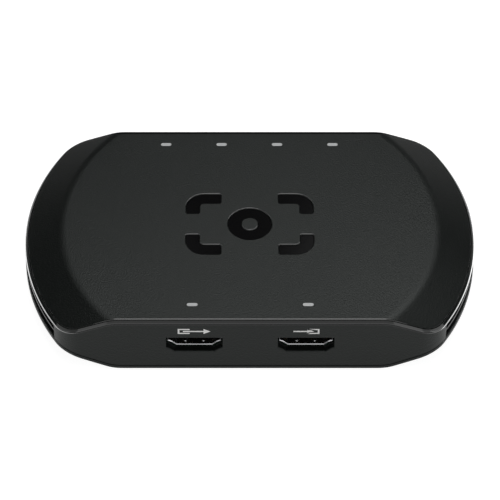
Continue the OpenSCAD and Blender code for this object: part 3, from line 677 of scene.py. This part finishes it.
# The edge is well rounded and polished along the front and back, and nearly sharp round the ends
cover_round = 0.5 * mm
cover_thin = 0.12 * mm
round_until = 36 * mm
thin_from = 42 * mm
window_w = 3 * mm
window_d = 1.2 * mm
window_arris = 0.05 * mm
front_window_y = half_d - 6.6 * mm
rear_window_y = half_d - 5.7 * mm
indicator_pitch = 15.6 * mm
case_pilot_r = 1.15 * mm
case_bite = 5 * mm
emblem_w = 35 * mm
emblem_d = 23 * mm
emblem_stroke = 3.6 * mm
emblem_arm_x = 9.5 * mm
emblem_arm_y = 7.5 * mm
emblem_r = 5 * mm
emblem_ring_r = 6 * mm
emblem_depth = 0.7 * mm
emblem_arris = 0.25 * mm
emblem_soft = 0.5 * mm
emblem_ring_steps = 96
emblem_bend_steps = 24


def bracket_loop(sx, sy):
    """One corner stroke of the emblem, counter-clockwise."""
    ex = emblem_w / 2
    ey = emblem_d / 2
    bend_x = ex - emblem_r
    bend_y = ey - emblem_r
    inner_r = emblem_r - emblem_stroke
    turns = [math.pi / 2 * i / emblem_bend_steps for i in range(emblem_bend_steps + 1)]
    loop = [(ex, ey - emblem_arm_y)]
    loop += [(bend_x + emblem_r * math.cos(a), bend_y + emblem_r * math.sin(a)) for a in turns]
    loop += [(ex - emblem_arm_x, ey), (ex - emblem_arm_x, ey - emblem_stroke)]
    loop += [(bend_x + inner_r * math.cos(a), bend_y + inner_r * math.sin(a)) for a in reversed(turns)]
    loop.append((ex - emblem_stroke, ey - emblem_arm_y))
    loop = [(sx * u, sy * v) for u, v in soften(loop, emblem_soft)]
    return loop if sx * sy > 0 else list(reversed(loop))


def on_top(u, v, down):
    """A place on the flat top, or so far below it."""
    return (u, v, top - down)


bracket_loops = [bracket_loop(sx, sy) for sx in (-1, 1) for sy in (-1, 1)]
ring_outer = circle_loop(0, 0, emblem_ring_r, emblem_ring_steps)
ring_inner = circle_loop(0, 0, emblem_ring_r - emblem_stroke, emblem_ring_steps)
windows = [(x * indicator_pitch, -front_window_y) for x in (-1, 1)]
windows += [(x * indicator_pitch, rear_window_y) for x in (-1.5, -0.5, 0.5, 1.5)]

bm = bmesh.new()
rows = [ring(bm, cover_inset, top_z, -cover_t), ring(bm, cover_inset, top_z, -cover_round - support)]
edge_rows = [[] for i in range(round_steps + 1)]
for x, y, nx, ny in stations:
    share = min(1, max(0, (thin_from - abs(x)) / (thin_from - round_until)))
    edge = rounding(cover_thin + (cover_round - cover_thin) * share)
    for row, (step, drop) in zip(reversed(edge_rows), edge):
        u = x - nx * (cover_inset + step)
        v = y - ny * (cover_inset + step)
        row.append(bm.verts.new((u, v, top_z(math.hypot(u, v)) - drop)))
rows += edge_rows
rows.append(ring(bm, cover_inset + cover_round + support, top_z))
bands(bm, rows)
polish(edge_rows, reach=thin_from)
under_loop = wing(bm, rows[0], top_radii, lambda r: top_z(r) - cover_t)
upper_loop = wing(bm, rows[-1], top_radii, top_z)
upper_holes = []
under_holes = []
for loop in bracket_loops:
    mouth, bottom = pierce(bm, loop, on_top, emblem_depth, emblem_arris, bright=True)
    upper_holes.append(mouth)
    fill(bm, bottom)
mouth, ring_bottom = pierce(bm, ring_outer, on_top, emblem_depth, emblem_arris, bright=True)
upper_holes.append(mouth)
island, island_bottom = pierce(bm, ring_inner, on_top, emblem_depth, emblem_arris, side=-1, bright=True)
fill(bm, island)
fill(bm, ring_bottom, island_bottom)
for x, y in windows:
    mouth, bottom = pierce(bm, pill_loop(x, y, window_w, window_d), on_top, cover_t, window_arris)
    upper_holes.append(mouth)
    under_holes.append(bottom)
for x, y in case_screws_at:
    post_foot, pit = turned(bm, x, y, [
        (post_r, top - cover_t), (post_r, post_split), (case_pilot_r, post_split),
        (case_pilot_r, post_split + case_bite)])
    under_holes.append(post_foot)
    fill(bm, pit)
fill(bm, upper_loop, *upper_holes)
fill(bm, under_loop, *under_holes)
make_piece("top_lid", bm, [case_plastic, rim_polished], "case_plastic", "top_cover")

# Emblem inlay: a thin, smooth, deep black inlay at the bottom of the emblem's recess.
# Moulded plastic, glued in; its corner strokes and ring follow the recess with a hair's gap.
inlay_t = 0.4 * mm
inlay_gap = 0.03 * mm
inlay_arris = 0.05 * mm
emblem_black = grained(
    "emblem_black", (0.0034, 0.0034, 0.0036), (0.0046, 0.0046, 0.0049),
    rough=(0.08, 0.14), bump=0.03, pebbles=900, gloss=0.05)


def inlay_walls(bm, loop, side):
    """Upright edge of the inlay along one loop; returns its upper and lower loops."""
    z = emblem_depth - inlay_t
    rows = [(-inlay_gap - inlay_arris, z), (-inlay_gap, z + inlay_arris), (-inlay_gap, emblem_depth)]
    rings = [[bm.verts.new(on_top(u, v, down)) for u, v in grow(loop, side * out)] for out, down in rows]
    bands(bm, rings)
    return rings[0], rings[-1]


bm = bmesh.new()
for loop in bracket_loops:
    upper, lower = inlay_walls(bm, loop, 1)
    fill(bm, upper)
    fill(bm, lower)
upper, lower = inlay_walls(bm, ring_outer, 1)
hole_upper, hole_lower = inlay_walls(bm, ring_inner, -1)
fill(bm, upper, hole_upper)
fill(bm, lower, hole_lower)
make_piece("emblem_gloss", bm, [emblem_black], "gloss_plastic", "emblem_inlay")

# Light guides: clear mouldings glued under the lid, whose frosted tips fill the six windows.
# Acrylic; light from the lamps on the board runs up their legs and along their fingers.
# Doubled vertices of CAD nodes that lie closer than this are joined
weld_gap = 0.0005 * mm
clear_plastic = grained(
    "clear_plastic", (0.43, 0.44, 0.44), (0.50, 0.51, 0.51),
    rough=(0.35, 0.45), bump=0.1, pebbles=5000, drift=300)


def break_edges(piece, edge):
    """Rounds the sharp edges of a piece or a CAD node by so much."""
    broken = piece.modifiers.new("broken_edges", "BEVEL")
    broken.width = edge
    broken.segments = 2
    broken.limit_method = "ANGLE"
    broken.angle_limit = crisp_angle


def dress(names, material, edge=0.0):
    """Gives CAD nodes their material and, where an edge is given, breaks their sharp edges by that much."""
    for name in names:
        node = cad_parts[name]
        node.data.materials.clear()
        node.data.materials.append(material)
        if edge:
            node.modifiers.new("joined", "WELD").merge_threshold = weld_gap
            break_edges(node, edge)


dress(["front_light_guide", "rear_light_guide"], clear_plastic)

# Vent grilles: curved gloss-black mouldings clipped behind the slots in the round ends.
# Each is a plate with two rows of openings, and between the rows a long bar stands out into the slot.
grille_r = half_w - wall_t
grille_t = 1.4 * mm
grille_lap = 0.45 * mm
grille_edge = 0.12 * mm
grille_step = 1 * mm
grille_bays = 6
bay_post_w = 1.25 * mm
bar_t = 0.8 * mm
bar_inset = 0.25 * mm
bar_z = (vent_low + vent_high) / 2
gloss_plastic = grained(
    "gloss_plastic", (0.0022, 0.0022, 0.0024), (0.0030, 0.0030, 0.0033),
    rough=(0.08, 0.12), bump=0.03, pebbles=900, gloss=0.2)

# Strips of the plate along its arc: a plain end, a margin, bays and posts by turns, a margin, a plain end
vent_turn = math.radians(vent_angle)
lap_turn = grille_lap / grille_r
bay_turn = 2 * vent_turn / grille_bays
open_turn = (bay_turn - bay_post_w / grille_r) / 2
strip_ends = [-vent_turn - lap_turn, lap_turn - vent_turn]
for bay in range(grille_bays):
    middle = (bay - (grille_bays - 1) / 2) * bay_turn
    strip_ends += [middle - open_turn, middle + open_turn]
strip_ends += [vent_turn - lap_turn, vent_turn + lap_turn]
last_strip = len(strip_ends) - 2
grille_levels = [vent_low - grille_lap, vent_low, bar_z - bar_t / 2,
                 bar_z + bar_t / 2, vent_high, vent_high + grille_lap]
open_rows = (1, 3)
bar_row = 2
grille_radii = [grille_r - grille_t, grille_r, half_w - bar_inset]
grille_turns = []

# Filled cells of the grille, each with its step along the arc, its row and its layer: plate or bar
cells = set()
for strip, (start, end) in enumerate(zip(strip_ends, strip_ends[1:])):
    steps = max(1, round((end - start) * grille_r / grille_step))
    is_end = strip in (0, last_strip)
    is_bay = strip % 2 == 0 and not is_end
    for i in range(len(grille_turns), len(grille_turns) + steps):
        cells |= {(i, row, 0) for row in range(len(grille_levels) - 1) if not (is_bay and row in open_rows)}
        if not is_end:
            cells.add((i, bar_row, 1))
    grille_turns += spread(start, end, steps)
grille_turns.append(strip_ends[-1])


def grille(bm, facing):
    """One grille as a closed mesh, with a face wherever a filled cell meets an empty one."""
    verts = {}
    for i, turn in enumerate(grille_turns):
        for j, z in enumerate(grille_levels):
            for k, r in enumerate(grille_radii):
                verts[i, j, k] = bm.verts.new((facing * r * math.cos(turn), r * math.sin(turn), z))
    for cell in sorted(cells):
        for axis in range(3):
            across, along = [a for a in range(3) if a != axis]
            for side in (0, 1):
                beside = list(cell)
                beside[axis] += 2 * side - 1
                if tuple(beside) in cells:
                    continue
                corners = []
                for u, v in ((0, 0), (1, 0), (1, 1), (0, 1)):
                    corner = list(cell)
                    corner[axis] += side
                    corner[across] += u
                    corner[along] += v
                    corners.append(verts[tuple(corner)])
                bm.faces.new(corners)


for name, node, facing in (("left_grille_moulding", "left_vent_grille", -1),
                           ("right_grille_moulding", "right_vent_grille", 1)):
    bm = bmesh.new()
    grille(bm, facing)
    moulding = make_piece(name, bm, [gloss_plastic], "gloss_plastic", node)
    break_edges(moulding, grille_edge)

# Video and data sockets: folded and plated steel shells round moulded blocks with gold contacts.
# Their legs are soldered into the circuit board, close behind the wall's openings.
shell_edge = 0.08 * mm
shell_nickel = grained(
    "shell_nickel", (0.34, 0.34, 0.35), (0.46, 0.46, 0.47),
    rough=(0.18, 0.32), bump=0.06, pebbles=1500, drift=400, metal=1)
gold_plate = grained(
    "gold_plate", (0.72, 0.52, 0.20), (0.86, 0.66, 0.30),
    rough=(0.15, 0.3), bump=0.05, pebbles=2500, drift=500, metal=1)
socket_plastic = grained(
    "socket_plastic", (0.003, 0.003, 0.003), (0.006, 0.006, 0.006), rough=(0.35, 0.5), bump=0.2, gloss=0.3)
dress(["video_out_shell", "video_in_shell", "data_socket_shell"], shell_nickel, shell_edge)
dress(["video_out_contacts", "video_in_contacts", "data_socket_contacts"], gold_plate)
dress(["video_out_insulator", "video_in_insulator", "data_socket_tongue"], socket_plastic)

# Audio jacks: moulded blocks with a blind bore behind the round holes in the back.
# Their bent terminals of plated steel are soldered to the board.
jack_edge = 0.15 * mm
plated_steel = grained(
    "plated_steel", (0.50, 0.50, 0.51), (0.66, 0.66, 0.67),
    rough=(0.18, 0.32), bump=0.06, pebbles=1500, drift=400, metal=1)
dress(jack_nodes, socket_plastic, jack_edge)
dress(["audio_jack_terminals"], plated_steel)

# Circuit board with what is soldered to it, closed in by the case, and the screws of board and case.
# Glass-fibre board with dark green resist, resin chips, a finned aluminium heat sink on a soft pad.
board_resist = grained(
    "board_resist", (0.006, 0.040, 0.022), (0.014, 0.070, 0.040),
    rough=(0.3, 0.42), bump=0.25, pebbles=700, drift=250)
chip_resin = grained(
    "chip_resin", (0.010, 0.010, 0.011), (0.018, 0.018, 0.020), rough=(0.5, 0.65), bump=0.35, pebbles=4200)
heat_sink_metal = grained(
    "heat_sink_metal", (0.55, 0.56, 0.58), (0.68, 0.69, 0.71),
    rough=(0.3, 0.45), bump=0.2, pebbles=1800, metal=1)
pad_silicone = grained("pad_silicone", (0.36, 0.42, 0.50), (0.44, 0.51, 0.60), rough=(0.7, 0.85), bump=0.3)
ceramic_body = grained("ceramic_body", (0.34, 0.26, 0.17), (0.44, 0.35, 0.24), rough=(0.5, 0.65), bump=0.2)
ferrite = grained(
    "ferrite", (0.06, 0.06, 0.065), (0.10, 0.10, 0.105), rough=(0.6, 0.8), bump=0.5, pebbles=1600)
dress(["main_board"], board_resist)
dress(["video_processor", "memory_chips", "video_receiver_chip", "video_driver_chip",
       "data_bridge_chip", "audio_codec_chip", "flash_chip"], chip_resin)
dress(["heat_sink", "bulk_capacitors"], heat_sink_metal)
dress(["thermal_pad"], pad_silicone)
dress(["ceramic_capacitors"], ceramic_body)
dress(["power_inductors"], ferrite)
dress(["indicator_lights"], clear_plastic)
dress(["crystals", "board_screws", "case_screws"], plated_steel)

# Floor: a wide pale table top that keeps the box's soft shadow and runs out into white.
# The camera sees an even glow on it, and polished pieces mirror a painted pool of light round the box: a
# glow that only their reflections see, bright near the box and dim further out.
floor_half = 3.0
floor_z = -0.02 * mm
floor_grey = (0.32, 0.32, 0.32, 1)
floor_glow = 0.9
# Painted pool of light in the floor's glow for reflections: bright out to the near distance from the
# middle, dim past the far one
painted_pool_near = 0.11
painted_pool_far = 0.18
painted_pool_bright = 0.5
painted_pool_dim = 0.05
floor_mesh = bpy.data.meshes.new("floor")
floor_mesh.from_pydata(
    [(-floor_half, -floor_half, floor_z), (floor_half, -floor_half, floor_z),
     (floor_half, floor_half, floor_z), (-floor_half, floor_half, floor_z)], [], [(0, 1, 2, 3)])
floor = bpy.data.objects.new("floor", floor_mesh)
bpy.context.scene.collection.objects.link(floor)
floor_white = bpy.data.materials.new("floor_white")
floor_white.use_nodes = True
tree = floor_white.node_tree
tree.nodes.clear()
paint = add_node(tree, "BsdfDiffuse", {"Color": floor_grey})
glow = add_node(tree, "Emission")
path = add_node(tree, "LightPath")
mirrored = add_node(tree, "Math")
mirrored.operation = "MAXIMUM"
place = add_node(tree, "TexCoord")
away = add_node(tree, "VectorMath")
away.operation = "LENGTH"
# Painted pool of light: the glow that reflections see, fading with distance from the middle
painted_pool = add_node(tree, "MapRange", {
    "From Min": painted_pool_near, "From Max": painted_pool_far, "To Min": painted_pool_bright, "To Max": painted_pool_dim})
painted_sheen = add_node(tree, "Math")
painted_sheen.operation = "MULTIPLY"
strength = add_node(tree, "Math", {1: floor_glow})
strength.operation = "MULTIPLY_ADD"
both = add_node(tree, "AddShader")
surface = add_node(tree, "OutputMaterial")
link = tree.links.new
link(path.outputs["Is Glossy Ray"], mirrored.inputs[0])
link(path.outputs["Is Transmission Ray"], mirrored.inputs[1])
link(place.outputs["Object"], away.inputs[0])
link(away.outputs["Value"], painted_pool.inputs["Value"])
link(mirrored.outputs[0], painted_sheen.inputs[0])
link(painted_pool.outputs["Result"], painted_sheen.inputs[1])
link(path.outputs["Is Camera Ray"], strength.inputs[0])
link(painted_sheen.outputs[0], strength.inputs[2])
link(strength.outputs[0], glow.inputs["Strength"])
link(paint.outputs[0], both.inputs[0])
link(glow.outputs[0], both.inputs[1])
link(both.outputs[0], surface.inputs["Surface"])
floor_mesh.materials.append(floor_white)

# Studio light: soft boxes overhead and a little behind for the sheen of the lid, a small one over the
# front edge, wide ones in front and at the sides, and faint ones behind the round ends.
# Bright cards lie on the table at both sides, where the polished foot of the rim mirrors them.
room_dim = 0.03
room_seen = 1.0
world = bpy.data.worlds.new("studio")
bpy.context.scene.world = world
world.use_nodes = True
tree = world.node_tree
room = tree.nodes["Background"]
room.inputs["Color"].default_value = (1, 1, 1, 1)
room_level = add_node(tree, "MapRange", {"To Min": room_dim, "To Max": room_seen})
path = add_node(tree, "LightPath")
tree.links.new(path.outputs["Is Camera Ray"], room_level.inputs["Value"])
tree.links.new(room_level.outputs["Result"], room.inputs["Strength"])


def soft_box(name, at, size, radiance, target=(0, 0, top)):
    """An area lamp turned to its target, as bright as the given radiance over its face."""
    lamp = bpy.data.lights.new(name, "AREA")
    lamp.shape = "RECTANGLE"
    lamp.size, lamp.size_y = size
    lamp.energy = radiance * math.pi * size[0] * size[1]
    holder = bpy.data.objects.new(name, lamp)
    holder.location = at
    holder.rotation_euler = (Vector(target) - Vector(at)).to_track_quat("-Z", "Y").to_euler()
    bpy.context.scene.collection.objects.link(holder)


soft_box("overhead_right", (0.16, 0.30, 0.75), (0.5, 0.5), 2.72)
soft_box("overhead_left", (-0.16, 0.30, 0.75), (0.5, 0.5), 1.22)
soft_box("side_right", (0.594, 0.281, 0.755), (0.4, 0.4), 0.6)
soft_box("back_right", (0.38, 0.91, 0.18), (0.5, 0.3), 0.4)
soft_box("back_left", (-0.38, 0.91, 0.18), (0.5, 0.3), 0.2)
soft_box("ceiling", (0, -0.25, 0.95), (0.3, 0.45), 2.6)
soft_box("front_box", (0, -0.8, 0.5), (1.4, 0.8), 1.0)
soft_box("left_box", (-0.853, -0.229, 0.172), (0.52, 0.36), 1.0)
soft_box("right_box", (0.853, -0.229, 0.172), (0.52, 0.36), 1.9)
soft_box("left_front_box", (-0.629, -0.566, 0.431), (0.5, 0.5), 0.6)
soft_box("right_front_box", (0.629, -0.566, 0.431), (0.5, 0.5), 1.1)
card_x = 0.1
card_z = 2 * mm
card_w = 0.055
for name, side, y, card_d, radiance in (
        ("left_card", -1, -0.004, 0.068, 5.0), ("right_card", 1, -0.004, 0.068, 7.2),
        ("left_front_card", -1, -0.075, 0.074, 3.0), ("right_front_card", 1, -0.075, 0.074, 1.6)):
    x = side * card_x
    soft_box(name, (x, y, card_z), (card_w, card_d), radiance, target=(x, y, 1))

# Camera: from the front and well above, with a long lens, as the photograph was taken.
# The box stood a little to the right of its axis, so the lens is shifted by as much.
elevation = math.radians(46.45)
distance = 902.5 * mm
focal_px = 3260
photo_px = 500
side_step = 5.5 * mm
aim = Vector((0.1 * mm, -1.02 * mm, under + 9 * mm))
camera_data = bpy.data.cameras.new("camera")
camera_data.sensor_width = 36
camera_data.lens = camera_data.sensor_width * focal_px / photo_px
camera_data.shift_x = side_step / distance * focal_px / photo_px
camera = bpy.data.objects.new("camera", camera_data)
camera.location = aim + distance * Vector((0, -math.cos(elevation), math.sin(elevation)))
camera.location.x -= side_step
camera.rotation_euler = (math.pi / 2 - elevation, 0, 0)
bpy.context.scene.collection.objects.link(camera)
bpy.context.scene.camera = camera
bpy.context.scene.view_settings.view_transform = "Standard"
